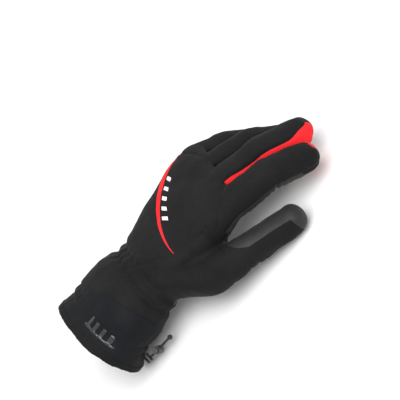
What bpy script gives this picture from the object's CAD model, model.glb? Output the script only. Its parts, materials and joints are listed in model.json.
import json
import math

import bpy
import numpy as np
from mathutils import Matrix, Vector


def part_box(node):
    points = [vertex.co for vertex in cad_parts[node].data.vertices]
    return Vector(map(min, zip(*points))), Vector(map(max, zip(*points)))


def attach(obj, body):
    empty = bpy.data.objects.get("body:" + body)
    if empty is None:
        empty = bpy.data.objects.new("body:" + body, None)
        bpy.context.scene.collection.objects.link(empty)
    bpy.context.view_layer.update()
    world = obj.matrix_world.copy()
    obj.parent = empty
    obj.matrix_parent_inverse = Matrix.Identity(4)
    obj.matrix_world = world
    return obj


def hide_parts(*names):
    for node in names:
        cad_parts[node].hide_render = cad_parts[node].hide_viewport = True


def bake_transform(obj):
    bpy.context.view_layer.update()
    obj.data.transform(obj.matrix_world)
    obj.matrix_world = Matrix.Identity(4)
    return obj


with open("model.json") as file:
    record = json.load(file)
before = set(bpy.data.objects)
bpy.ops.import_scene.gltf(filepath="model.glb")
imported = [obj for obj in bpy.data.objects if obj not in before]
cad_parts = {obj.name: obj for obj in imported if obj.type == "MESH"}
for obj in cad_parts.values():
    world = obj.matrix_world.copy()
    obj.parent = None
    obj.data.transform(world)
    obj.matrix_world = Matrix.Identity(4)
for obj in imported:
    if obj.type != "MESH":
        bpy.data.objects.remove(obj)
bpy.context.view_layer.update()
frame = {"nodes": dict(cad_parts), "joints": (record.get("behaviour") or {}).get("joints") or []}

MM = 0.001
hem_low, hem_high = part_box("hem_binding")
HEM = np.array([(hem_low.x + hem_high.x) / 2, hem_low.y, 0.0]) / MM   # under the middle of the hem's edge
hinges = {j["name"]: np.array(j["pos_m"]) / MM - HEM for j in frame["joints"] if "pos_m" in j}


def to_frame(points):
    """Points of the glove's own pattern, in mm from the hem, as metres in the row frame."""
    return (np.asarray(points, float) + HEM) * MM


# ---- camera ----
VIEW_LIFT, VIEW_SWING, HAND_SLANT = math.radians(38), math.radians(12), math.radians(47)
AIM, DISTANCE, SEEN_WIDE = np.array([-16.0, 154.6, 47.2]), 1250.0, 352.0


def make_camera():
    side = np.array([math.cos(VIEW_LIFT), 0, math.sin(VIEW_LIFT)])
    toward = math.cos(VIEW_SWING) * side + math.sin(VIEW_SWING) * np.array([0, 1, 0])
    along = math.cos(VIEW_SWING) * np.array([0, 1, 0]) - math.sin(VIEW_SWING) * side
    across = np.array([math.sin(VIEW_LIFT), 0, -math.cos(VIEW_LIFT)])
    right = math.cos(HAND_SLANT) * along + math.sin(HAND_SLANT) * across
    up = math.sin(HAND_SLANT) * along - math.cos(HAND_SLANT) * across
    data = bpy.data.cameras.new("camera")
    data.sensor_width, data.lens = 36.0, 36.0 * DISTANCE / SEEN_WIDE
    data.clip_start, data.clip_end = 0.05, 20
    camera = bpy.data.objects.new("camera", data)
    bpy.context.scene.collection.objects.link(camera)
    turn = Matrix(np.column_stack([right, up, toward]).tolist()).to_4x4()
    camera.matrix_world = Matrix.Translation(Vector(to_frame(AIM + toward * DISTANCE))) @ turn
    bpy.context.scene.camera = camera


make_camera()

# ---- the glove's form, with its fingers still straight, in mm from the hem ----
VOXEL = 1.15
RING, STEP = 64, 2.5    # points round a section, and mm between sections
MIDDLE_HEIGHT = 37    # of the hem's opening above the floor
# Each row is (distance from the hem, middle across, middle height, half width, half height, squareness).
SLEEVE = [
    (-1, 0, 37.0, 53.0, 36.2, 2.4), (10, 0, 37.2, 52.6, 36.0, 2.4), (22, 0, 37.6, 50.8, 34.6, 2.4),
    (31, 0, 38.2, 52.6, 36.0, 2.4), (42, 0, 38.8, 52.4, 36.0, 2.4), (56, -1, 40, 48.5, 33.4, 2.4),
    (66, -2, 40.8, 43.0, 29.6, 2.4), (75, -3, 41.5, 40.4, 27.6, 2.4), (84, -4, 42.2, 41.6, 27.6, 2.4),
    (96, -5.6, 43.6, 45.0, 27.2, 2.5), (116, -9, 45.8, 49.4, 24.6, 2.6), (140, -13, 47.8, 53.0, 22.4, 2.7),
    (160, -16, 49.0, 54.8, 20.0, 2.8), (174, -18, 49.4, 54.6, 17.6, 3.0), (183, -18, 49.4, 53.8, 15.0, 3.2),
]
DIGITS = ("index", "middle", "ring", "little", "thumb")
FINGERS = DIGITS[:4]
TIP_LENGTH = {"index": 35, "middle": 36, "ring": 33, "little": 27, "thumb": 48}
TIP_SLOPE = {"index": -28.0, "middle": -25.0, "ring": -47.3, "little": -52.95, "thumb": -15.2}
GIRTH = {"index": 1.0, "middle": 1.0, "ring": 1.0, "little": 0.965}
SPREAD = {"index": 1.5, "middle": 0.5, "ring": -0.5, "little": -1.5}
SPREAD_GAP, SPREAD_FROM, SPREAD_TO = 3.4, 179.0, 193.0


def knuckle(digit):
    return hinges["thumb_root" if digit == "thumb" else f"{digit}_knuckle"]


def bend_at(digit):
    return hinges[f"{digit}_bend"]


def reach(digit):
    return float(np.linalg.norm(bend_at(digit) - knuckle(digit)))


def slope(digit):
    step = bend_at(digit) - knuckle(digit)
    return math.atan2(step[2], step[1])


def ease(t):
    t = np.clip(t, 0.0, 1.0)
    return t * t * (3 - 2 * t)


def follow(at, stops, values):
    """A smooth curve through values at stops (Catmull-Rom), read at any place."""
    stops, values, at = np.asarray(stops, float), np.asarray(values, float), np.asarray(at, float)
    k = np.clip(np.searchsorted(stops, at) - 1, 0, len(stops) - 2)
    tangent = np.gradient(values, stops)
    step = stops[k + 1] - stops[k]
    t = np.clip((at - stops[k]) / step, 0, 1)
    return ((2 * t**3 - 3 * t**2 + 1) * values[k] + (t**3 - 2 * t**2 + t) * step * tangent[k]
            + (3 * t**2 - 2 * t**3) * values[k + 1] + (t**3 - t**2) * step * tangent[k + 1])


def loft(sections):
    """A closed tube through sections of (along, across, up, half width, half height, squareness)."""
    turn = np.linspace(0, 2 * math.pi, RING, endpoint=False)
    c, s = np.cos(turn), np.sin(turn)
    verts = [(sections[0][1], sections[0][0], sections[0][2])]
    for y, x, z, a, b, n in sections:
        ring_x = x + a * np.sign(c) * np.abs(c) ** (2 / n)
        ring_z = z + b * np.sign(s) * np.abs(s) ** (2 / n)
        verts += list(zip(ring_x, np.full(RING, y), ring_z))
    verts.append((sections[-1][1], sections[-1][0], sections[-1][2]))
    faces = [(0, 1 + i, 1 + (i + 1) % RING) for i in range(RING)]
    for k in range(len(sections) - 1):
        low, high = 1 + k * RING, 1 + (k + 1) * RING
        faces += [(low + i, high + i, high + (i + 1) % RING, low + (i + 1) % RING) for i in range(RING)]
    last = 1 + (len(sections) - 1) * RING
    faces += [(last + (i + 1) % RING, last + i, len(verts) - 1) for i in range(RING)]
    return verts, faces


def between_stations(stations, end):
    """Sections at even steps through the stations, up to the distance end."""
    table = np.array(stations, float)
    along = np.arange(table[0, 0], end, STEP)
    columns = [follow(along, table[:, 0], table[:, k]) for k in range(1, 6)]
    return [tuple(row) for row in np.column_stack([along, *columns])]


def smooth_loft(stations):
    return loft(between_stations(stations, stations[-1][0] + STEP / 2))


def domed(stations, end):
    """Stations with a rounded end of the last station's size, closing at the distance end."""
    y, x, z, a, b, n = stations[-1]
    depth = end - y
    cap = []
    for t in (0.25, 0.45, 0.62, 0.76, 0.87, 0.95, 0.992):
        shrink = math.sqrt(1 - t * t)
        cap.append((y + depth * t, x, z, a * shrink, b * shrink, n))
    return loft(between_stations(stations, y) + [tuple(stations[-1])] + cap)


def finger_form(digit):
    joint, g, shift = knuckle(digit), GIRTH[digit], SPREAD[digit] * SPREAD_GAP
    bend, tip = joint[1] + reach(digit), joint[1] + reach(digit) + TIP_LENGTH[digit]
    # Each row is (along, up, half width, half height, squareness).
    table = np.array([
        (joint[1] - 26, -1, 12.2, 12.5, 2.2), (joint[1] - 8, 0, 13.0, 14.6, 2.3),
        (joint[1] + 14, 0, 13.3, 15.3, 2.3), (bend - 12, 0, 13.2, 14.9, 2.3), (bend, 0, 13.1, 14.6, 2.3),
        (bend + 12, 0, 13.1, 14.4, 2.35), (tip - 4, 0, 12.7, 13.4, 2.4), (tip + 1, 0, 12.4, 12.9, 2.35),
    ], float)
    table[:, 1] += joint[2]
    table[:, 2:4] *= g
    fine = []
    for y in np.arange(table[0, 0], table[-1, 0] + 0.1, STEP):
        values = [float(follow(y, table[:, 0], table[:, k])) for k in range(1, 5)]
        x = joint[0] + shift * float(ease((y - SPREAD_FROM) / (SPREAD_TO - SPREAD_FROM)))
        fine.append((float(y), x, *values))
    return domed(fine, fine[-1][0] + 12.2 * g)


def thumb_form():
    joint, bend = knuckle("thumb"), bend_at("thumb")
    tip = bend + TIP_LENGTH["thumb"] * np.array([0, math.cos(math.radians(TIP_SLOPE["thumb"])),
                                                 math.sin(math.radians(TIP_SLOPE["thumb"]))])
    rows = [
        (84, 22, 42.5, 17, 19, 2.2), (100, 35, 39.5, 19, 18.5, 2.2),
        (joint[1], joint[0] - 3.5, joint[2] + 0.8, 18.6, 17.4, 2.2),
        (joint[1] + 16, joint[0] - 0.6, joint[2] - 3.6, 16.4, 16.4, 2.2),
        (joint[1] + 30, joint[0], joint[2] - 7.0, 15.0, 15.7, 2.25),
        (bend[1], bend[0], bend[2], 14.3, 15.0, 2.25),
        (bend[1] + 18, bend[0], bend[2] - 4.9, 14.2, 14.4, 2.3),
        (tip[1] - 9, tip[0], tip[2] + 2.4, 13.6, 13.4, 2.35),
        (tip[1] - 1, tip[0], tip[2] + 0.6, 13.0, 12.6, 2.3),
    ]
    return domed(rows, tip[1] + 12.4)


def web_form():
    """The web of skin between the thumb and the index finger."""
    return smooth_loft([(112, 34, 41, 12, 14, 2.1), (126, 35, 39.5, 13, 12.5, 2.1),
                        (140, 34, 37.5, 10, 9.5, 2.1), (149, 33, 36.8, 6.5, 6.0, 2.1),
                        (153, 33, 36.5, 2.5, 2.5, 2.0)])


def blend_forms(forms, name):
    """One closed skin round overlapping forms: (points, faces)."""
    verts, faces = [], []
    for form_verts, form_faces in forms:
        start = len(verts)
        verts += form_verts
        faces += [tuple(start + i for i in face) for face in form_faces]
    mesh = bpy.data.meshes.new(name)
    mesh.from_pydata(verts, [], faces)
    holder = bpy.data.objects.new(name, mesh)
    bpy.context.scene.collection.objects.link(holder)
    remesh = holder.modifiers.new("skin", "REMESH")
    remesh.mode, remesh.voxel_size, remesh.adaptivity = "VOXEL", VOXEL, 0.0
    done = bpy.data.meshes.new_from_object(holder.evaluated_get(bpy.context.evaluated_depsgraph_get()))
    points = np.empty(len(done.vertices) * 3)
    done.vertices.foreach_get("co", points)
    done.calc_loop_triangles()
    triangles = np.empty(len(done.loop_triangles) * 3, np.int64)
    done.loop_triangles.foreach_get("vertices", triangles)
    bpy.data.objects.remove(holder)
    bpy.data.meshes.remove(done)
    return points.reshape(-1, 3), triangles.reshape(-1, 3)


def sides_of(triangles):
    return np.concatenate([triangles[:, [0, 1]], triangles[:, [1, 2]], triangles[:, [2, 0]]])


def edges_of(triangles):
    return np.unique(np.sort(sides_of(triangles), axis=1), axis=0)


def relax(points, triangles, times, share=0.5):
    """Each point moves part of the way to the middle of its neighbours, again and again."""
    edges = edges_of(triangles)
    count = np.bincount(edges.ravel(), minlength=len(points))[:, None]
    for _ in range(times):
        total = np.zeros_like(points)
        for k in range(3):
            total[:, k] = (np.bincount(edges[:, 0], points[edges[:, 1], k], len(points))
                           + np.bincount(edges[:, 1], points[edges[:, 0], k], len(points)))
        points = points + share * (total / np.maximum(count, 1) - points)
    return points


def normals_of(points, triangles):
    a, b, c = (points[triangles[:, k]] for k in range(3))
    face = np.cross(b - a, c - a)
    out = np.zeros_like(points)
    for k in range(3):
        for j in range(3):
            out[:, j] += np.bincount(triangles[:, k], face[:, j], len(points))
    return out / np.maximum(np.linalg.norm(out, axis=1, keepdims=True), 1e-12)


class Skin:
    """The glove's outer face: flat holds its points with the fingers straight, shape holds them as sewn."""

    def __init__(self, flat, shape, triangles):
        self.flat, self.shape, self.triangles = flat, shape, triangles

    def cut(self, field, where=None, snap=0.14):
        """Lays an edge along field = 0, between points that are both where."""
        value = field(self.flat)
        value = np.where(np.abs(value) < snap, 0.0, value)
        allowed = np.ones(len(value), bool) if where is None else where(self.flat)
        edges = edges_of(self.triangles)
        a, b = edges[:, 0], edges[:, 1]
        crossed = (value[a] * value[b] < 0) & allowed[a] & allowed[b]
        a, b = a[crossed], b[crossed]
        t = (value[a] / (value[a] - value[b]))[:, None]
        first = len(value)
        self.flat = np.vstack([self.flat, self.flat[a] * (1 - t) + self.flat[b] * t])
        self.shape = np.vstack([self.shape, self.shape[a] * (1 - t) + self.shape[b] * t])
        size = len(value) + 1
        keys = a * size + b
        order = np.argsort(keys)
        keys = keys[order]
        new = (first + np.arange(len(a)))[order]
        pieces, tri = [], self.triangles
        middle = np.full(tri.shape, -1)
        for k, (i, j) in enumerate(((0, 1), (1, 2), (2, 0))):
            low, high = np.minimum(tri[:, i], tri[:, j]), np.maximum(tri[:, i], tri[:, j])
            key = low * size + high
            spot = np.searchsorted(keys, key)
            spot[spot == len(keys)] = 0
            hit = (keys[spot] == key) if len(keys) else np.zeros(len(tri), bool)
            middle[hit, k] = new[spot[hit]]
        split = (middle >= 0).sum(1)
        pieces.append(tri[split == 0])
        for k in range(3):
            i, j, m = k, (k + 1) % 3, (k + 2) % 3
            only = (split == 1) & (middle[:, k] >= 0)
            v, n = tri[only], middle[only, k]
            pieces += [np.column_stack([v[:, i], n, v[:, m]]), np.column_stack([n, v[:, j], v[:, m]])]
            both = (split == 2) & (middle[:, k] < 0)
            v, p, q = tri[both], middle[both, j], middle[both, m]
            pieces += [np.column_stack([v[:, m], q, p]), np.column_stack([v[:, i], v[:, j], q]),
                       np.column_stack([q, v[:, j], p])]
        self.triangles = np.vstack(pieces)

    def middles(self):
        return self.flat[self.triangles].mean(1)


X_OF = {digit: knuckle(digit)[0] for digit in DIGITS}


def finger_of(flat):
    """The number of the finger that each point is nearest to, across the hand."""
    lines = np.array([X_OF[d] for d in FINGERS])
    return np.abs(flat[:, :1] - lines[None, :]).argmin(1)


def unspread(points):
    """Brings the fingers side by side again after the skin round them was made."""
    lines = np.array([X_OF[d] for d in FINGERS])
    shift = np.array([SPREAD[d] for d in FINGERS]) * SPREAD_GAP
    amount = ease((points[:, 1] - SPREAD_FROM) / (SPREAD_TO - SPREAD_FROM))
    nearest = np.abs(points[:, :1] - (lines[None, :] + shift[None, :] * amount[:, None])).argmin(1)
    out = points.copy()
    out[:, 0] -= np.where(is_thumb(points), 0, shift[nearest] * amount)
    return out


def is_thumb(points):
    """True on the thumb beyond its crotch, where it lies beside and below the index finger."""
    axis_z = np.interp(points[:, 1], [116, 158, 206, 222], [35, 25, 12.4, 9])
    own = np.hypot(points[:, 0] - X_OF["thumb"], points[:, 2] - axis_z)
    index = np.hypot(points[:, 0] - X_OF["index"] - SPREAD["index"] * SPREAD_GAP, points[:, 2] - 50)
    return (own < index) & (points[:, 1] > 140)


# ---- seams, as fields on the straight glove: each is 0 on its seam and about 1 per mm away from it ----
KNUCKLE_SEAM = ((-76, -60, -47, -31, -5, 10, 24, 40), (165, 168, 176, 181, 184, 185, 185, 183))
CUFF_SEAM = 75.0
BACK_HEIGHT, PALM_HEIGHT, OUTER_HEIGHT = 9.6, -6.2, -4.6    # side seams of the fingers, from their middles
LOW_X, LOW_Z = 0.616, 0.788    # a direction towards the thumb's side and down: (LOW_X, -LOW_Z)


def past_knuckles(flat):
    """Over 0 past the seam over the knuckles, which runs back to the thumb's crotch on the index finger."""
    line = np.interp(flat[:, 0], *KNUCKLE_SEAM)
    toward_thumb = ease((LOW_X * flat[:, 0] - LOW_Z * (flat[:, 2] - MIDDLE_HEIGHT) + 18.3) / 35)
    slanted = line - 30 * toward_thumb * ease((flat[:, 2] - 38) / 6)
    return flat[:, 1] - np.where(flat[:, 0] > 9, slanted, line)


def from_middle(flat):
    """How far across and up each point is from the middle of the finger that it is on."""
    digit = finger_of(flat)
    lines = np.array([X_OF[d] for d in FINGERS])[digit]
    heights = np.array([knuckle(d)[2] for d in FINGERS])[digit]
    return flat[:, 0] - lines, flat[:, 2] - heights, digit


def on_thumb_side(flat):
    """Over 0 on the thumb and its gusset: past a seam from the crotch down to the wrist, on back and palm."""
    line = np.array([(74, 6, 2), (84, 12, 6), (96, 20.5, 14), (107, 27, 24), (120, 31.5, 30), (130, 33, 32),
                     (140, 33.5, 33), (149, 33.5, 33.5), (160, 34.5, 35.0), (240, 35.6, 35.6)])
    back, palm = (np.interp(flat[:, 1], line[:, 0], line[:, k]) for k in (1, 2))
    value = flat[:, 0] - palm - (back - palm) * ease((flat[:, 2] - 30) / 26)
    above_thumb = (flat[:, 1] > 158) & (flat[:, 2] > 42)
    return np.where(above_thumb, -np.abs(value) - 1, value)


# ---- sewing the fingers to their bent rest shape ----
FLEX_FROM, FLEX_TO = 163.0, 190.0


def turn_about(points, pivot_y, pivot_z, angle):
    """Turns points in their upright plane: a positive angle lifts them."""
    y, z = points[:, 1] - pivot_y, points[:, 2] - pivot_z
    c, s = np.cos(angle), np.sin(angle)
    return np.column_stack([points[:, 0], pivot_y + y * c - z * s, pivot_z + y * s + z * c])


def bend_fingers(flat, points):
    """The points with every finger curled as it lies; flat says where each one is on the straight glove."""
    order = sorted(FINGERS, key=lambda d: X_OF[d])
    lines = [X_OF[d] for d in order]
    mixed = {key: np.interp(flat[:, 0], lines, [value(d) for d in order]) for key, value in (
        ("y", lambda d: knuckle(d)[1]), ("z", lambda d: knuckle(d)[2]), ("turn", slope))}
    number = finger_of(flat)
    own = {key: np.array([value(d) for d in FINGERS])[number] for key, value in (
        ("y", lambda d: knuckle(d)[1]), ("z", lambda d: knuckle(d)[2]), ("turn", slope),
        ("reach", reach), ("tip", lambda d: math.radians(TIP_SLOPE[d]) - slope(d)))}
    single = ease((flat[:, 1] - 178) / 12)
    whole = {key: mixed[key] + (own[key] - mixed[key]) * single for key in mixed}
    finger = on_thumb_side(flat) < 0
    half = 11.0
    bend_y = own["y"] + own["reach"]
    second = ease((flat[:, 1] - bend_y + half) / (2 * half)) * finger
    points = turn_about(points, bend_y, own["z"], second * own["tip"])
    first = ease((flat[:, 1] - FLEX_FROM) / (FLEX_TO - FLEX_FROM)) * finger
    return turn_about(points, whole["y"], whole["z"], first * whole["turn"])


def waves(points, size, seed):
    """Smooth, even, repeatable unevenness between about -1 and 1, of a size in mm."""
    rng = np.random.default_rng(seed)
    total = np.zeros(len(points))
    for _ in range(7):
        direction = rng.normal(size=3)
        direction /= np.linalg.norm(direction)
        pitch = 2 * math.pi / size * rng.uniform(0.75, 1.35)
        total += np.sin(points @ direction * pitch + rng.uniform(0, 6.28))
    return total / 3.2


def near(value, width):
    return np.exp(-(value / width) ** 2)


def creased(flat):
    """How far each point stands out of the plain form, in mm: padding, gathers, folds and creases."""
    x, y, z = flat.T
    across, up, digit = from_middle(flat)
    past = past_knuckles(flat)
    thumb = on_thumb_side(flat) > 0
    finger = (past > 0) & ~thumb
    out = 0.35 * waves(flat, 34, 3) + 0.16 * waves(flat, 13, 4)
    # Gathers of the elastic round the wrist: many short folds along the glove, and a few rolls across it.
    turn = np.arctan2(z - 41, x + 3)
    wrist = near(y - 72, 9.5)
    folds = np.sin(turn * 17 + 1.5 * np.sin(turn * 5 + y * 0.12))
    out += wrist * 0.85 * folds * (0.6 + 0.4 * waves(flat, 40, 9))
    for along, height, width in ((61.5, 1.0, 3.4), (68, -1.3, 2.2), (79, -1.2, 2.6), (73.5, 0.7, 3.0)):
        out += height * near(y - along, width)
    out += near(y - 86 - 2.5 * np.sin(turn * 2 + 1), 4.0) * 0.7
    # The cord's tunnel round the cuff, with the small gathers that it draws.
    free = 1 - 0.9 * ease((x + 24) / 9) * ease((z - 26) / 8)   # the patch keeps its part of the cuff smooth
    out += free * (near(y - 22, 2.6) * 1.3 - near(y - 17.6, 1.3) * 0.9 - near(y - 26.4, 1.3) * 0.9)
    out += free * near(y - 24, 9) * 0.4 * np.sin(turn * 31 + 2 * np.sin(turn * 7))
    out += near(y - 45, 12) * 0.7 * waves(flat, 46, 21)
    # Padding stands proud between the seams on each finger, and creases cross the palm side at each bend.
    bend_y = np.array([knuckle(d)[1] + reach(d) for d in FINGERS])[digit]
    low = ease((-up - 2) / 9)
    for offset, depth, width in ((0, 1.5, 1.5), (-6.5, 0.9, 1.2), (6.5, 0.9, 1.2), (-14, 0.5, 1.2),
                                 (13, 0.45, 1.2)):
        wobble = 1.3 * np.sin(across * 0.28 + digit * 2 + offset)
        out -= finger * low * depth * near(y - bend_y - offset + wobble, width)
    high = ease((up - 3) / 8)
    for offset, depth, width in ((-4, 0.35, 2.0), (5, 0.45, 2.4)):
        out -= finger * high * depth * near(y - bend_y - offset, width)
    out += finger * 0.3 * waves(flat, 17, 31)
    for offset, depth in ((4, 0.9), (10, 0.6), (-6, 0.8), (-13, 0.5)):
        wobble = 1.5 * np.sin(x * 0.21 + offset)
        out -= (1 - thumb) * ease((44 - z) / 6) * depth * near(past - offset + wobble, 1.5)
    # Folds of the thumb's root and bend.
    bend = bend_at("thumb")[1]
    for offset, depth, width in ((0, 1.1, 1.6), (7, 0.7, 1.3), (-7, 0.7, 1.3)):
        out -= thumb * ease((34 - z) / 8) * depth * near(y - bend - offset, width)
    out -= thumb * 0.9 * near(y - 146 - 0.12 * (x - 45), 2.4) * ease((z - 20) / 12)
    out -= thumb * 0.7 * near(y - 128 - 0.25 * (x - 45), 2.6)
    out += thumb * 0.35 * waves(flat, 19, 8)
    return out


def seam_depths(flat):
    """How deep the stitching pulls the face in, next to each seam."""
    across, up, digit = from_middle(flat)
    past, thumb = past_knuckles(flat), on_thumb_side(flat)
    finger = (past > 0) & (thumb < 0)
    outer = ((digit == 0) & (across > 0)) | ((digit == 3) & (across < 0))
    depth = finger * ~outer * (near(up - back_seam(flat), 1.9) + near(up - PALM_HEIGHT, 1.9))
    depth = depth + finger * outer * near(up - OUTER_HEIGHT, 1.9)
    hand = (flat[:, 1] > CUFF_SEAM) & (thumb < 0)
    depth = np.maximum(depth, hand * near(past, 2.2))
    depth = np.maximum(depth, (flat[:, 1] > CUFF_SEAM) * near(thumb, 2.2) * (flat[:, 1] < 152))
    depth = np.maximum(depth, (past < 0) * hand * near(palm_edge(flat), 2.0))
    return depth


def back_seam(flat):
    """Height of the seam between a finger's back and its side: it rises towards the tip's end."""
    digit = finger_of(flat)
    tip = np.array([knuckle(d)[1] + reach(d) + TIP_LENGTH[d] for d in FINGERS])[digit]
    return BACK_HEIGHT - 3.0 * ease((flat[:, 1] - 186) / 30) + 3.6 * ease((flat[:, 1] - tip + 14) / 16)


def palm_edge(flat):
    """Over 0 above the seam between the back of the hand and the leather of its palm."""
    middle = np.interp(flat[:, 1], [75, 90, 115, 145, 174], [41.5, 43, 45.5, 48, 49])
    web = 18 * ease((flat[:, 0] - 16) / 10) * ease((flat[:, 1] - 112) / 14)   # lower between thumb and index
    return flat[:, 2] - (middle - 6.5 - web)


def make_skin():
    forms = [smooth_loft(SLEEVE), thumb_form(), web_form()] + [finger_form(d) for d in FINGERS]
    points, triangles = blend_forms(forms, "form")
    points = relax(points, triangles, 5)
    flat = unspread(points)
    plain = normals_of(flat, triangles)
    shape = flat + plain * (creased(flat) - 0.75 * seam_depths(flat))[:, None]
    return Skin(flat, bend_fingers(flat, shape), triangles)


# ---- materials ----
def group(name, inputs, outputs):
    """A node group with its sockets: (name, type) in, and the names of the numbers that come out."""
    tree = bpy.data.node_groups.new(name, "ShaderNodeTree")
    for label, kind in inputs:
        tree.interface.new_socket(label, in_out="INPUT", socket_type=f"NodeSocket{kind}")
    for label in outputs:
        tree.interface.new_socket(label, in_out="OUTPUT", socket_type="NodeSocketFloat")
    return tree, tree.nodes.new("NodeGroupInput"), tree.nodes.new("NodeGroupOutput")


def add(tree, kind, inputs=None, **settings):
    """A node with its settings and inputs: a value, or a socket to link from."""
    node = tree.nodes.new(kind)
    for key, value in settings.items():
        setattr(node, key, value)
    for key, value in (inputs or {}).items():
        if isinstance(value, bpy.types.NodeSocket):
            tree.links.new(value, node.inputs[key])
        else:
            node.inputs[key].default_value = value
    return node


def math_node(tree, operation, a, b=0.0, c=0.0):
    return add(tree, "ShaderNodeMath", {0: a, 1: b, 2: c}, operation=operation).outputs[0]


def weave_group():
    """The height of fine twill threads along and across the cloth."""
    tree, start, end = group("weave", [("Cloth", "Vector"), ("Pitch", "Float")], ["Height"])
    parts = add(tree, "ShaderNodeSeparateXYZ", {0: start.outputs["Cloth"]})
    turn = math_node(tree, "DIVIDE", 2 * math.pi, start.outputs["Pitch"])
    u = math_node(tree, "MULTIPLY", parts.outputs[0], turn)
    v = math_node(tree, "MULTIPLY", parts.outputs[1], turn)
    warp = math_node(tree, "SINE", math_node(tree, "ADD", u, math_node(tree, "MULTIPLY", v, 0.5)))
    weft = math_node(tree, "SINE", math_node(tree, "SUBTRACT", v, math_node(tree, "MULTIPLY", u, 0.5)))
    both = math_node(tree, "MULTIPLY", warp, weft)
    tree.links.new(math_node(tree, "MULTIPLY_ADD", both, 0.5, 0.5), end.inputs["Height"])
    return tree


def cloud_group():
    """Slow and fast unevenness of colour and height: (slow, fast)."""
    tree, start, end = group("cloud", [("Place", "Vector"), ("Size", "Float")], ["Slow", "Fast"])
    scale = math_node(tree, "DIVIDE", 1.0, start.outputs["Size"])
    slow = add(tree, "ShaderNodeTexNoise", {"Vector": start.outputs["Place"], "Scale": scale, "Detail": 3.0})
    quick = math_node(tree, "MULTIPLY", scale, 9.0)
    fast = add(tree, "ShaderNodeTexNoise", {"Vector": start.outputs["Place"], "Scale": quick, "Detail": 4.0,
                                            "Roughness": 0.65})
    tree.links.new(slow.outputs[0], end.inputs["Slow"])
    tree.links.new(fast.outputs[0], end.inputs["Fast"])
    return tree


def grain_group():
    """The height of leather's pebbles, with fine creases between them."""
    tree, start, end = group("grain", [("Place", "Vector"), ("Size", "Float")], ["Height"])
    scale = math_node(tree, "DIVIDE", 1.0, start.outputs["Size"])
    bend = add(tree, "ShaderNodeTexNoise", {"Vector": start.outputs["Place"], "Scale": scale, "Detail": 2.0})
    cells = add(tree, "ShaderNodeTexVoronoi", {"Vector": start.outputs["Place"], "Scale": scale},
                feature="DISTANCE_TO_EDGE")
    soft = add(tree, "ShaderNodeMapRange", {0: cells.outputs["Distance"], 1: 0.0, 2: 0.22},
               interpolation_type="SMOOTHSTEP")
    pebbles = math_node(tree, "MULTIPLY", soft.outputs[0], 0.6)
    tree.links.new(math_node(tree, "MULTIPLY_ADD", bend.outputs[0], 0.5, pebbles), end.inputs["Height"])
    return tree


WEAVE, CLOUD, GRAIN = weave_group(), cloud_group(), grain_group()


def places(tree, own):
    """Sockets for a point's place in the pattern and on the cloth, both in mm: own is False on a CAD node."""
    if own:
        return (add(tree, "ShaderNodeAttribute", attribute_name="pattern").outputs["Vector"],
                add(tree, "ShaderNodeUVMap", uv_map="cloth").outputs[0])
    place = add(tree, "ShaderNodeTexCoord").outputs["Object"]
    grown = add(tree, "ShaderNodeVectorMath", {0: place, 1: (1 / MM,) * 3}, operation="MULTIPLY")
    return grown.outputs[0], grown.outputs[0]


def blended(tree, share, dark, light):
    """A colour between dark and light, by a share from 0 to 1."""
    mixed = add(tree, "ShaderNodeMix", data_type="RGBA")
    tree.links.new(share, mixed.inputs["Factor"])
    mixed.inputs["A"].default_value, mixed.inputs["B"].default_value = (*dark, 1), (*light, 1)
    return mixed.outputs["Result"]


CLOUD_SIZE, RELIEF_DEPTH = 26.0, 0.25    # mm


def material(name, dark, light, rough, relief, kind, size, own=True, **shader):
    """A material whose colour and roughness follow the cloud and the relief, and whose bump is the relief."""
    made = bpy.data.materials.new(name)
    made.use_nodes = True
    tree = made.node_tree
    surface = tree.nodes["Principled BSDF"]
    place, cloth = places(tree, own)
    haze = add(tree, "ShaderNodeGroup", {}, node_tree=CLOUD)
    tree.links.new(place, haze.inputs["Place"])
    haze.inputs["Size"].default_value = CLOUD_SIZE
    detail = add(tree, "ShaderNodeGroup", {}, node_tree=WEAVE if kind == "weave" else GRAIN)
    if kind == "weave":
        tree.links.new(cloth, detail.inputs["Cloth"])
        detail.inputs["Pitch"].default_value = size
    else:
        tree.links.new(place, detail.inputs["Place"])
        detail.inputs["Size"].default_value = size
    shade = math_node(tree, "MULTIPLY", detail.outputs[0], 0.25)
    shade = math_node(tree, "MULTIPLY_ADD", haze.outputs["Fast"], 0.35, shade)
    shade = math_node(tree, "MULTIPLY_ADD", haze.outputs["Slow"], 0.55, shade)
    spread = add(tree, "ShaderNodeMapRange", {0: shade, 1: 0.3, 2: 0.85})
    tree.links.new(blended(tree, spread.outputs[0], dark, light), surface.inputs["Base Color"])
    gloss = add(tree, "ShaderNodeMapRange", {0: shade, 1: 0.3, 2: 0.85, 3: rough[1], 4: rough[0]})
    tree.links.new(gloss.outputs[0], surface.inputs["Roughness"])
    height = math_node(tree, "MULTIPLY_ADD", haze.outputs["Fast"], 0.6, detail.outputs[0])
    bump = add(tree, "ShaderNodeBump", {"Strength": relief, "Distance": RELIEF_DEPTH * MM, "Height": height})
    tree.links.new(bump.outputs[0], surface.inputs["Normal"])
    for key, value in shader.items():
        surface.inputs[key].default_value = value
    return made


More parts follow.
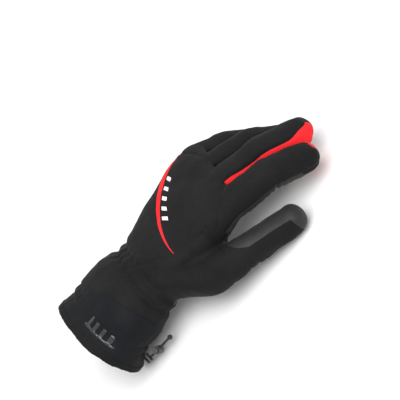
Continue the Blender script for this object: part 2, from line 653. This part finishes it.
SHELL_SHEEN = {"Sheen Weight": 0.02, "Sheen Roughness": 0.45, "Specular IOR Level": 0.08}
BLACK_CLOTH = (0.0055, 0.0055, 0.006), (0.0125, 0.0125, 0.013)
softshell = material("softshell", *BLACK_CLOTH, (0.62, 0.82), 0.35, "weave", 0.9, **SHELL_SHEEN)
leather = material("leather", (0.012, 0.012, 0.0125), (0.024, 0.024, 0.0245), (0.42, 0.6), 0.55, "grain", 1.5,
                   **{"Specular IOR Level": 0.25})
red_cloth = material("red_cloth", (0.62, 0.012, 0.016), (0.84, 0.03, 0.036), (0.6, 0.8), 0.4, "weave", 0.8,
                     **SHELL_SHEEN)
fleece = material("fleece", (0.010, 0.010, 0.0105), (0.024, 0.024, 0.025), (0.85, 1.0), 1.0, "grain", 2.4,
                  **{"Sheen Weight": 0.2})
print_white = material("print_white", (0.72, 0.72, 0.72), (0.86, 0.86, 0.86), (0.4, 0.55), 0.2, "weave", 0.9)
patch_rubber = material("patch_rubber", (0.0045, 0.005, 0.006), (0.009, 0.0095, 0.0115), (0.55, 0.72), 0.25,
                        "grain", 0.9, **{"Specular IOR Level": 0.09})
emblem_rubber = material("emblem_rubber", (0.012, 0.012, 0.014), (0.02, 0.02, 0.023), (0.12, 0.22), 0.1,
                         "grain", 2.0)
binding_cloth = material("binding_cloth", *BLACK_CLOTH, (0.66, 0.86), 0.5, "weave", 1.2, **SHELL_SHEEN)
thread = material("thread", (0.010, 0.010, 0.0105), (0.019, 0.019, 0.020), (0.6, 0.8), 0.4, "grain", 0.4,
                  own=False, **SHELL_SHEEN)
webbing = material("webbing", (0.010, 0.010, 0.011), (0.024, 0.024, 0.026), (0.6, 0.8), 0.8, "weave", 1.0,
                   own=False)
cord_braid = material("cord_braid", (0.010, 0.010, 0.011), (0.03, 0.03, 0.032), (0.55, 0.75), 0.8,
                      "weave", 0.7, own=False)
plastic = material("plastic", (0.010, 0.010, 0.011), (0.018, 0.018, 0.019), (0.28, 0.42), 0.15, "grain", 0.5,
                   own=False)
plastic_button = material("plastic_button", (0.016, 0.016, 0.017), (0.026, 0.026, 0.028), (0.3, 0.45), 0.15,
                          "grain", 0.5, own=False)
elastic_web = material("elastic_web", (0.012, 0.012, 0.013), (0.03, 0.03, 0.032), (0.7, 0.9), 0.6,
                       "weave", 1.4, own=False)


# ---- panels ----
skin = make_skin()


def tip_middle(digit):
    """How far along the straight glove the middle of a fingertip lies."""
    return knuckle(digit)[1] + reach(digit) + TIP_LENGTH[digit]


def along_finger(flat, offsets):
    """Distance past a line across each finger, offsets holding the line's place for every finger."""
    return flat[:, 1] - np.array([offsets[d] for d in FINGERS])[finger_of(flat)]


HALFWAY = {"index": 204.5, "middle": 210.0, "ring": 206.0, "little": 191.5}
THUMB_SEAM, THUMB_HALFWAY = 112.8, 168.0
THUMB_WAY = (0.835, 0.55)    # the way across and along from the hand into the thumb
PATCH_LOW = 9.0


def halfway(flat):
    return along_finger(flat, HALFWAY)


def leather_end(flat):
    """Over 0 past the rounded end of the leather on the inside of a finger."""
    across = from_middle(flat)[0]
    return along_finger(flat, {d: tip_middle(d) + 1.5 for d in FINGERS}) + 9 * (across / 11.5) ** 2


def red_cap(flat):
    """Over 0 on the black share of the two fingertips that are part red."""
    across, _, digit = from_middle(flat)
    return np.where(digit == 0, across - 3.5, 3.5 - across)


def thumb_seam(flat):
    return THUMB_WAY[0] * flat[:, 0] + THUMB_WAY[1] * flat[:, 1] - THUMB_SEAM


# The thumb's middle line, as (along, across, up).
THUMB_LINE = ((84, 22, 42.5), (100, 35, 39.5), (116, 48, 35.8), (132, 50.9, 31.4), (146, 51.5, 28),
              (157.8, 51.5, 25), (206, 51.5, 12.4), (222, 51.5, 9))
# Where the thumb's leather starts, as places along it and the angle there.
LEATHER_START = ((143, 147, 150, 153, 158, 165, 190, 205), (200, 160, 124, 95, 68, 52, 50, 46))


def thumb_angle(flat):
    """The way each point of the thumb faces, in degrees: 0 outwards, 90 up, 180 towards the index finger."""
    line = np.array(THUMB_LINE)
    middle = [np.interp(flat[:, 1], line[:, 0], line[:, k]) for k in (1, 2)]
    return np.degrees(np.arctan2(flat[:, 2] - middle[1], flat[:, 0] - middle[0]))


def thumb_leather(flat):
    """Over 0 on the thumb's leather: its inner strip, its inside and its tip, in about mm from the seam."""
    angle = thumb_angle(flat)
    start = np.interp(flat[:, 1], *LEATHER_START)
    strip = np.minimum(np.where(angle > -100, (angle - start) * 0.25, 20.0), 42.0 - flat[:, 2])
    palm = np.where(angle < 0, (-52 - angle) * 0.25, -20.0)
    return np.maximum(np.maximum(strip, palm), flat[:, 1] - 205)


def patch_field(flat):
    """Over 0 on the cuff's patch: a long panel whose upper edge climbs towards the thumb."""
    x, y, z = flat.T
    top = (36.8 + 0.367 * (x + 6) - y) * 0.94
    left = (x + 18 - 0.43 * (y - PATCH_LOW)) * 0.92
    return np.minimum.reduce([y - PATCH_LOW, top, left, z - 32])


STRIPE_CENTRE, STRIPE_R, STRIPE_SHIFT = np.array([24.0, 240.0]), 126.0, np.array([10.3, 0.5])


def stripe_field(flat):
    """Over 0 on the red crescent on the back of the hand: inside one circle and outside another."""
    outer = STRIPE_R - np.hypot(*(flat[:, :2] - STRIPE_CENTRE).T)
    inner = np.hypot(*(flat[:, :2] - STRIPE_CENTRE - STRIPE_SHIFT).T) - STRIPE_R
    return np.minimum.reduce([outer, inner, (flat[:, 2] - 50) * 0.5, 34.0 - flat[:, 0]])


def mark_field(flat):
    """Over 0 on the plain white mark beside the crescent: five slanted dashes in a row."""
    step = flat[:, :2] - STRIPE_CENTRE - STRIPE_SHIFT
    far = np.hypot(*step.T)
    turn = np.degrees(np.arctan2(-step[:, 0], -step[:, 1])) + 0.3 * (STRIPE_R - 5 - far)
    dash = 2.1 - np.abs(((turn - 19.0 + 2.6) % 5.2) - 2.6) * math.radians(1) * far
    return np.minimum.reduce([dash, far - (STRIPE_R - 8.5), STRIPE_R - 2.2 - far, (turn - 16.5) * 2,
                              (42.3 - turn) * 2, flat[:, 2] - 50])


def emblem_field(flat):
    """Over 0 on the raised bars of the patch: four uprights on one foot."""
    x, y = flat[:, 0], flat[:, 1]
    foot = np.minimum.reduce([y - 15.0, 17.2 - y, x - 16.0, 48.0 - x])
    upright = 1.75 - np.abs(((x - 19.75 + 4) % 8) - 4)
    bars = np.minimum.reduce([upright, y - 16.5, 26.0 - y, x - 17.0, 46.5 - x])
    return np.minimum(np.maximum(foot, bars), flat[:, 2] - 40)


# How far the cord draws the cuff's thumb side in: places along the cuff, and its share of the plain width.
DRAWN = ((-2, 6, 14, 22, 32, 42, 52, 60, 68, 78, 90),
         (1.0, 0.98, 0.91, 0.84, 0.82, 0.82, 0.84, 0.87, 0.92, 0.97, 1.0))


def settled(flat, points):
    """The cuff as it lies: its edge slants back over the wrist, and the cord draws its thumb side in."""
    out = points.copy()
    across, up = points[:, 0], points[:, 2] - MIDDLE_HEIGHT
    side = LOW_X * across - LOW_Z * up
    share = np.interp(flat[:, 1], *DRAWN) - 1.0
    pull = np.maximum(side, 0) * share * (flat[:, 1] < 90)
    out[:, 0] += LOW_X * pull
    out[:, 2] -= LOW_Z * pull
    slant = 1 - ease(flat[:, 1] / 62)
    out[:, 1] += slant * (0.117 * across - 0.15 * up)
    return out


skin.shape = settled(skin.flat, skin.shape)


def on_hand(flat):
    return (flat[:, 1] > CUFF_SEAM - 1) & (past_knuckles(flat) < 1.5) & (on_thumb_side(flat) < 1.5)


def on_thumb(flat):
    return (on_thumb_side(flat) > -1.5) & (flat[:, 1] > CUFF_SEAM - 1)


def on_cuff(flat):
    return flat[:, 1] < CUFF_SEAM + 1


def on_finger(flat):
    return (past_knuckles(flat) > -1.5) & (on_thumb_side(flat) < 1.5)


def outer_side(flat):
    """True on the two sides of the hand where a finger has no neighbour."""
    across, _, digit = from_middle(flat)
    return ((digit == 0) & (across > 0)) | ((digit == 3) & (across < 0))


def beside_thumb_seam(flat):
    return (flat[:, 1] > CUFF_SEAM - 1) & (flat[:, 1] < 200) & (np.abs(on_thumb_side(flat)) < 3)


SIDE_SEAM, CUFF_SIDE_HEIGHT, FACING_TOP = 38.0, 39.0, 20.8
HEM_LINE, BINDING_TOP, TUNNEL_LOW, TUNNEL_TOP = 0.6, 7.0, 17.6, 26.4
for line in (HEM_LINE, BINDING_TOP, TUNNEL_LOW, TUNNEL_TOP):
    skin.cut(lambda f: f[:, 1] - line, on_cuff)
skin.cut(lambda f: f[:, 1] - CUFF_SEAM)
skin.cut(lambda f: np.abs(f[:, 0]) - SIDE_SEAM, on_cuff)
skin.cut(lambda f: f[:, 2] - CUFF_SIDE_HEIGHT, on_cuff)
skin.cut(on_thumb_side, beside_thumb_seam)
skin.cut(past_knuckles, lambda f: (on_thumb_side(f) < 1) & (f[:, 1] > 140))
skin.cut(palm_edge, on_hand)
skin.cut(halfway, on_finger)
skin.cut(lambda f: from_middle(f)[1] - OUTER_HEIGHT, lambda f: on_finger(f) & outer_side(f))
skin.cut(lambda f: from_middle(f)[1] - PALM_HEIGHT, lambda f: on_finger(f) & ~outer_side(f))
skin.cut(lambda f: from_middle(f)[1] - back_seam(f), lambda f: on_finger(f) & ~outer_side(f))
skin.cut(leather_end, lambda f: on_finger(f) & (from_middle(f)[1] < 0))
skin.cut(red_cap, lambda f: on_finger(f) & (leather_end(f) > -3))
skin.cut(thumb_seam, on_thumb)
skin.cut(lambda f: f[:, 1] - THUMB_HALFWAY, on_thumb)
skin.cut(thumb_leather, on_thumb)
skin.cut(patch_field, on_cuff)
skin.cut(stripe_field, on_hand)
skin.cut(mark_field, on_hand)
skin.cut(emblem_field, on_cuff)
SKIN_NORMALS = normals_of(skin.shape, skin.triangles)
centre = skin.middles()
over_hem = centre[:, 1] > HEM_LINE
cuff = (centre[:, 1] < CUFF_SEAM) & over_hem
thumb = (on_thumb_side(centre) > 0) & ~cuff & over_hem
finger = (past_knuckles(centre) > 0) & ~thumb & ~cuff & over_hem
hand = ~cuff & ~thumb & ~finger & over_hem
ACROSS, UP, DIGIT = from_middle(centre)


def cloth_uv(flat):
    """Places on the cloth in mm: round the finger or sleeve, and along it."""
    across, up, _ = from_middle(flat)
    finger_turn = np.arctan2(across, up) * 13.5
    sleeve_turn = np.where(flat[:, 2] > 42, flat[:, 0], -flat[:, 0] + 8.0)
    steep = np.abs(flat[:, 0] + 8) > 44
    sleeve_turn = np.where(steep, flat[:, 2] + 20.0, sleeve_turn)
    on = (past_knuckles(flat) > 0) & (on_thumb_side(flat) < 0)
    thumb_turn = np.radians(thumb_angle(flat)) * 14.0
    on_thumb_cloth = (on_thumb_side(flat) > 0) & (flat[:, 1] > 110)
    u = np.where(on, finger_turn, np.where(on_thumb_cloth, thumb_turn, sleeve_turn))
    return np.column_stack([u, flat[:, 1]])


CLOTH_THICK = 1.2


def shell(name, chosen, cloth, outside=0.0, inside=-CLOTH_THICK, lining=None, rounded=0.0):
    """A closed piece of cloth cut from the skin: its face stands outside, and its back inside, the skin."""
    tri = skin.triangles[chosen]
    used, flat_index = np.unique(tri, return_inverse=True)
    tri = flat_index.reshape(-1, 3)
    base, normal, flat = skin.shape[used], SKIN_NORMALS[used], skin.flat[used]
    count = len(used)
    half = sides_of(tri)
    keys = half[:, 0] * count + half[:, 1]
    back_keys = half[:, 1] * count + half[:, 0]
    border = half[~np.isin(keys, back_keys)]
    lift = np.full(count, outside)
    if rounded:
        edge = np.zeros(count, bool)
        edge[border.ravel()] = True
        lift[edge] = outside - rounded * (outside - inside)
    top = base + normal * lift[:, None]
    low = base + normal * inside
    points = np.vstack([top, low])
    faces = [tri, tri[:, ::-1] + count]
    a, b = border[:, 0], border[:, 1]
    faces += [np.column_stack([b, a, a + count]), np.column_stack([b, a + count, b + count])]
    triangles = np.vstack(faces)
    mesh = bpy.data.meshes.new(name)
    mesh.vertices.add(len(points))
    mesh.vertices.foreach_set("co", to_frame(points).astype(np.float32).ravel())
    mesh.loops.add(3 * len(triangles))
    mesh.loops.foreach_set("vertex_index", triangles.astype(np.int32).ravel())
    mesh.polygons.add(len(triangles))
    mesh.polygons.foreach_set("loop_start", np.arange(0, 3 * len(triangles), 3, dtype=np.int32))
    mesh.update(calc_edges=True)
    mesh.materials.append(cloth)
    mesh.materials.append(lining or cloth)
    slots = np.zeros(len(triangles), np.int32)
    slots[len(tri):2 * len(tri)] = 1
    mesh.polygons.foreach_set("material_index", slots)
    mesh.polygons.foreach_set("use_smooth", np.ones(len(triangles), bool))
    pattern = mesh.attributes.new("pattern", "FLOAT_VECTOR", "POINT")
    pattern.data.foreach_set("vector", np.vstack([flat, flat]).astype(np.float32).ravel())
    uv = mesh.uv_layers.new(name="cloth")
    uv.data.foreach_set("uv", np.vstack([cloth_uv(flat)] * 2)[triangles.ravel()].astype(np.float32).ravel())
    own = normals_of(top, tri) if rounded else normal
    corner = np.vstack([own[tri.ravel()], -normal[tri[:, ::-1].ravel()]])
    rim = points[triangles[2 * len(tri):]]
    flat_normal = np.cross(rim[:, 1] - rim[:, 0], rim[:, 2] - rim[:, 0])
    flat_normal /= np.maximum(np.linalg.norm(flat_normal, axis=1, keepdims=True), 1e-12)
    corner = np.vstack([corner, np.repeat(flat_normal, 3, axis=0)])
    mesh.normals_split_custom_set(corner.tolist())
    mesh.validate()
    piece = bpy.data.objects.new(name, mesh)
    bpy.context.scene.collection.objects.link(piece)
    return piece


def up_of(angle):
    return np.array([0.0, math.cos(angle), math.sin(angle)])


def bends(digit):
    """Where a digit's skin bends, in the row frame: between sleeve and base, and between base and tip."""
    root, bend = knuckle(digit), bend_at(digit)
    if digit == "thumb":
        way = np.array([*THUMB_WAY, 0.0])
        first = [way * THUMB_SEAM + [0, 0, 30], way * (THUMB_SEAM + 11.5) + [0, 0, 30]]
        second = [np.array([0, THUMB_HALFWAY + 0.6, 20]), np.array([0, THUMB_HALFWAY + 16.6, 20])]
        return first, second
    start = 13.5 if digit != "ring" else 11.5
    line = up_of(slope(digit))
    first = [root + line * start, root + line * (start + 13.5)]
    both = up_of((slope(digit) + math.radians(TIP_SLOPE[digit])) / 2)
    return first, [bend - both * 8.5, bend + both * 8.5]


def follow_digit(piece, digit, part):
    """The piece bends with its digit: its base over the knuckle, its tip over the middle joint."""
    first, second = bends(digit)
    start, end = first if part == "base" else second
    tuple(to_frame(start))
    tuple(to_frame(end))
    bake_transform(piece)


MATERIAL_SLOTS = {softshell: "softshell", leather: "leather", red_cloth: "red_fabric"}


def sewn(name, chosen, cloth, node, digit=None, part=None, also=(), **facts):
    """A panel of the skin that stands for its CAD node and follows the sleeve or its digit."""
    piece = shell(name, chosen, cloth, lining=fleece, **facts)
    if digit:
        follow_digit(piece, digit, part)
    else:
        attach(piece, "sleeve")
    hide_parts(node, *also)
    MATERIAL_SLOTS.get(cloth, "lining")
    return piece


tip_side = halfway(centre) > 0
past_leather = leather_end(centre) > 0
cap_black = red_cap(centre) > 0
FOURCHETTES = {"index": {"little": "red"}, "middle": {"thumb": "red", "little": "black"},
               "ring": {"thumb": "black", "little": "black"}, "little": {"thumb": "black"}}
outer = outer_side(centre)
below = np.where(outer, UP < OUTER_HEIGHT, UP < PALM_HEIGHT)
between = ~outer & (UP > PALM_HEIGHT) & (UP < back_seam(centre))


def back_and_palm(digit, part, back, palm):
    """The padded back of a part of a finger or thumb, with its lining, and the leather on its inside."""
    name = f"{digit}_{part}"
    sewn(f"{name}_back_cloth", back, softshell, f"{name}_back", digit=digit, part=part,
                              also=(f"{name}_lining",))
    sewn(f"{name}_palm_leather", palm, leather, f"{name}_palm", digit=digit, part=part)


for number, digit in enumerate(FINGERS):
    for part in ("base", "tip"):
        own = finger & (DIGIT == number) & (tip_side if part == "tip" else ~tip_side)
        palm = own & below & ~past_leather
        rest_of = own & ~palm
        name = f"{digit}_{part}"
        for side, colour in FOURCHETTES[digit].items():
            on_side = ACROSS > 0 if side == "thumb" else ACROSS < 0
            strip = rest_of & on_side & between & ~past_leather
            if part == "tip":
                if colour == "black":
                    continue
                strip = strip | (rest_of & past_leather & ~cap_black & (UP < back_seam(centre)))
            node = f"{name}_{'red_' if colour == 'red' else ''}fourchette_{side}"
            sewn(f"{name}_{side}_side", strip, red_cloth if colour == "red" else softshell, node,
                 digit=digit, part=part)
            rest_of = rest_of & ~strip
        back_and_palm(digit, part, rest_of, palm)

thumb_is_leather = thumb_leather(centre) > 0
gusset = thumb & (thumb_seam(centre) < 0)
thumb_tip = thumb & ~gusset & (centre[:, 1] > THUMB_HALFWAY)
thumb_base = thumb & ~gusset & ~thumb_tip
sewn("thumb_gusset_cloth", gusset & ~thumb_is_leather, softshell, "thumb_gusset")
sewn("thumb_gusset_leather", gusset & thumb_is_leather, leather, "thumb_gusset")
for part, where in (("base", thumb_base), ("tip", thumb_tip)):
    back_and_palm("thumb", part, where & ~thumb_is_leather, where & thumb_is_leather)

above = palm_edge(centre) > 0
sewn("hand_back_cloth", hand & above, softshell, "hand_back")
sewn("hand_palm_leather", hand & ~above, leather, "hand_palm")
left, right = centre[:, 0] < -SIDE_SEAM, centre[:, 0] > SIDE_SEAM
top_half = centre[:, 2] > CUFF_SIDE_HEIGHT
sewn("cuff_back_cloth", cuff & ~left & ~right & top_half, softshell, "cuff_back")
sewn("cuff_palm_cloth", cuff & ~left & ~right & ~top_half, softshell, "cuff_palm")
sewn("cuff_little_side_cloth", cuff & left, softshell, "cuff_little_side")
sewn("cuff_thumb_side_cloth", cuff & right, softshell, "cuff_thumb_side")

# Inside: the fleece lining of cuff and hand, its facing at the hem, and the elastic between the layers.
depth = dict(outside=-1.9, inside=-4.6)
along = centre[:, 1]
sewn("cuff_facing_fleece", cuff & (along < FACING_TOP), fleece, "cuff_facing", **depth)
sewn("cuff_lining_fleece", cuff & (along > FACING_TOP), fleece, "cuff_lining", **depth)
sewn("hand_lining_fleece", hand, fleece, "hand_lining", **depth)


def overlay(name, chosen, cloth, node, outside, inside=0.05, rounded=0.55):
    """A layer on or under the sleeve's face: outside and inside give its two sides, rounded its edges."""
    piece = shell(name, chosen, cloth, outside=outside, inside=inside, rounded=rounded)
    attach(piece, "sleeve")
    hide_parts(node)


overlay("red_crescent", hand & (stripe_field(centre) > 0), red_cloth, "red_stripe", 0.35)
overlay("white_dashes", hand & (mark_field(centre) > 0), print_white, "white_mark", 0.18)
patch = cuff & (patch_field(centre) > 0)
overlay("cuff_patch_face", patch, patch_rubber, "cuff_patch", 0.7)
overlay("cuff_emblem_bars", cuff & (emblem_field(centre) > 0), emblem_rubber, "cuff_emblem",
        1.5, 0.6)
overlay("hem_fold", cuff & (along < BINDING_TOP), binding_cloth, "hem_binding", 0.55, -4.7, 0.25)

elastic_at = (along > 66) & (along < 82) & (cuff | hand)
overlay("wrist_elastic_band", elastic_at, elastic_web, "wrist_elastic", -1.25, -1.85, 0)


# ---- stitches ----
STITCH_LONG, STITCH_GAP, STITCH_THICK = 2.1, 3.1, 0.24


def crossings(field, chosen):
    """Where a field is zero on the chosen triangles: runs of (place, outward direction), end to end."""
    value = field(skin.flat)
    corners = skin.triangles[chosen]
    signs = value[corners] > 0
    mixed = signs.any(1) & ~signs.all(1)
    links = {}
    for corner, sign in zip(corners[mixed], signs[mixed]):
        pair = [tuple(sorted((corner[i], corner[i - 1]))) for i in range(3) if sign[i] != sign[i - 1]]
        links.setdefault(pair[0], []).append(pair[1])
        links.setdefault(pair[1], []).append(pair[0])
    left_over = set(links)
    for start in sorted(links, key=lambda edge: (len(links[edge]), edge)):
        if start not in left_over:
            continue
        run, at_edge = [], start
        while at_edge is not None:
            left_over.discard(at_edge)
            run.append(at_edge)
            at_edge = next((other for other in links[at_edge] if other in left_over), None)
        first, second = np.array(run).T
        share = (value[first] / (value[first] - value[second]))[:, None]
        yield (skin.shape[first] * (1 - share) + skin.shape[second] * share,
               SKIN_NORMALS[first] * (1 - share) + SKIN_NORMALS[second] * share)


def stitch_tree():
    """Geometry nodes: one stitch at each point, turned along its row."""
    tree = bpy.data.node_groups.new("stitches", "GeometryNodeTree")
    for label, kind in (("Geometry", "Geometry"), ("Length", "Float"), ("Radius", "Float"),
                        ("Thread", "Material")):
        tree.interface.new_socket(label, in_out="INPUT", socket_type=f"NodeSocket{kind}")
    tree.interface.new_socket("Geometry", in_out="OUTPUT", socket_type="NodeSocketGeometry")
    given = add(tree, "NodeGroupInput")
    bead = add(tree, "GeometryNodeMeshUVSphere", {"Segments": 6, "Rings": 5, "Radius": 1.0})
    size = add(tree, "ShaderNodeCombineXYZ", {0: given.outputs["Length"], 1: given.outputs["Radius"],
                                              2: given.outputs["Radius"]})
    stitch = add(tree, "GeometryNodeTransform", {"Geometry": bead.outputs["Mesh"], "Scale": size.outputs[0]})
    along_row = add(tree, "GeometryNodeInputNamedAttribute", {"Name": "along"}, data_type="FLOAT_VECTOR")
    turn = add(tree, "FunctionNodeAlignRotationToVector", {"Vector": along_row.outputs["Attribute"]},
               axis="X")
    placed = add(tree, "GeometryNodeInstanceOnPoints", {"Points": given.outputs["Geometry"],
                 "Instance": stitch.outputs["Geometry"], "Rotation": turn.outputs["Rotation"]})
    real = add(tree, "GeometryNodeRealizeInstances", {"Geometry": placed.outputs["Instances"]})
    dressed = add(tree, "GeometryNodeSetMaterial", {"Geometry": real.outputs["Geometry"],
                                                    "Material": given.outputs["Thread"]})
    add(tree, "NodeGroupOutput", {"Geometry": dressed.outputs["Geometry"]})
    return tree


STITCHES = stitch_tree()


def stitch_row(name, rows):
    """Rows of stitches on the sleeve: each is a field, the triangles it runs over, and its height above."""
    points, directions = [], []
    for field, chosen, rise in rows:
        for places_on, outward in crossings(field, chosen):
            steps = np.linalg.norm(np.diff(places_on, axis=0), axis=1)
            reached = np.concatenate([[0], np.cumsum(steps)])
            if reached[-1] < 3 * STITCH_GAP:
                continue
            stops = np.arange(STITCH_GAP / 2, reached[-1], STITCH_GAP)
            middle = [np.interp(stops, reached, (places_on + outward * rise)[:, k]) for k in range(3)]
            ahead = [np.interp(stops + 0.8, reached, places_on[:, k]) for k in range(3)]
            behind = [np.interp(stops - 0.8, reached, places_on[:, k]) for k in range(3)]
            points.append(np.column_stack(middle))
            directions.append(np.column_stack(ahead) - np.column_stack(behind))
    points, directions = np.vstack(points), np.vstack(directions)
    mesh = bpy.data.meshes.new(name)
    mesh.from_pydata(to_frame(points).tolist(), [], [])
    mesh.attributes.new("along", "FLOAT_VECTOR", "POINT").data.foreach_set("vector", directions.ravel())
    seed = bpy.data.objects.new(name, mesh)
    bpy.context.scene.collection.objects.link(seed)
    maker = seed.modifiers.new("stitches", "NODES")
    maker.node_group = STITCHES
    sockets = {item.name: item.identifier for item in STITCHES.interface.items_tree if item.in_out == "INPUT"}
    maker[sockets["Length"]] = STITCH_LONG / 2 * MM
    maker[sockets["Radius"]] = STITCH_THICK * MM
    maker[sockets["Thread"]] = thread
    bpy.context.view_layer.update()
    done = bpy.data.meshes.new_from_object(seed.evaluated_get(bpy.context.evaluated_depsgraph_get()))
    seed.modifiers.clear()
    seed.data = done
    done.name = name
    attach(seed, "sleeve")
    return seed


cuff_outside = cuff & (along > 1.0)
stitch_row("hem_stitches", [(lambda flat: flat[:, 1] - BINDING_TOP + 1.4, cuff_outside, 0.62)])
stitch_row("patch_stitches", [(lambda flat: patch_field(flat) - 1.8, cuff, 0.78)])
stitch_row("wrist_stitches", [(lambda flat: flat[:, 1] - CUFF_SEAM - 2.0, hand, 0.05)])
stitch_row("hand_stitches", [(lambda flat: palm_edge(flat) - 1.8, hand, 0.05),
                             (lambda flat: past_knuckles(flat) + 3.6, hand & above, 0.05)])

for name, cloth in (("drawcord", cord_braid), ("cord_tail", cord_braid),
                    ("cord_grommet", plastic), ("lock_body", plastic), ("lock_plunger", plastic_button),
                    ("hanging_loop", webbing)):
    frame["nodes"][name].data.materials.clear()
    frame["nodes"][name].data.materials.append(cloth)


# ---- floor, lights ----
def floor():
    made = bpy.data.materials.new("floor")
    made.use_nodes = True
    tree = made.node_tree
    surface = tree.nodes["Principled BSDF"]
    place = add(tree, "ShaderNodeTexCoord").outputs["Object"]
    noise = add(tree, "ShaderNodeTexNoise", {"Vector": place, "Scale": 3.0, "Detail": 2.0})
    tree.links.new(blended(tree, noise.outputs[0], (0.80, 0.80, 0.80), (0.84, 0.84, 0.84)),
                   surface.inputs["Base Color"])
    surface.inputs["Roughness"].default_value = 0.9
    mesh = bpy.data.meshes.new("floor")
    mesh.from_pydata([(-3, -3, -0.001), (3, -3, -0.001), (3, 3, -0.001), (-3, 3, -0.001)], [], [(0, 1, 2, 3)])
    mesh.materials.append(made)
    plate = bpy.data.objects.new("floor", mesh)
    bpy.context.scene.collection.objects.link(plate)


def soft_light(name, place, aim, size, power):
    data = bpy.data.lights.new(name, "AREA")
    data.shape, data.size, data.energy = "SQUARE", size, power
    lamp = bpy.data.objects.new(name, data)
    lamp.location = place
    lamp.rotation_euler = (Vector(aim) - Vector(place)).to_track_quat("-Z", "Y").to_euler()
    bpy.context.scene.collection.objects.link(lamp)


floor()
soft_light("key", (0.5, 0.1, 1.15), (0, 0, 0.04), 1.0, 17)
soft_light("fill", (1.2, 0.6, 0.7), (0, 0, 0.04), 1.0, 5)
soft_light("rim", (-1.0, 0.8, 0.8), (0, 0, 0.04), 0.7, 6)
world = bpy.data.worlds.new("studio")
bpy.context.scene.world = world
world.use_nodes = True
sky = world.node_tree
sky.nodes.clear()
path = add(sky, "ShaderNodeLightPath")
seen = math_node(sky, "MAXIMUM", path.outputs["Is Glossy Ray"], path.outputs["Is Transmission Ray"])
seen = math_node(sky, "MAXIMUM", path.outputs["Is Camera Ray"], seen)
lit = add(sky, "ShaderNodeBackground", {"Color": (1, 1, 1, 1), "Strength": 0.6})
white = add(sky, "ShaderNodeBackground", {"Color": (1, 1, 1, 1), "Strength": 1.0})
mixed = add(sky, "ShaderNodeMixShader", {0: seen, 1: lit.outputs[0], 2: white.outputs[0]})
add(sky, "ShaderNodeOutputWorld", {"Surface": mixed.outputs[0]})
bpy.context.scene.view_settings.view_transform = "Standard"
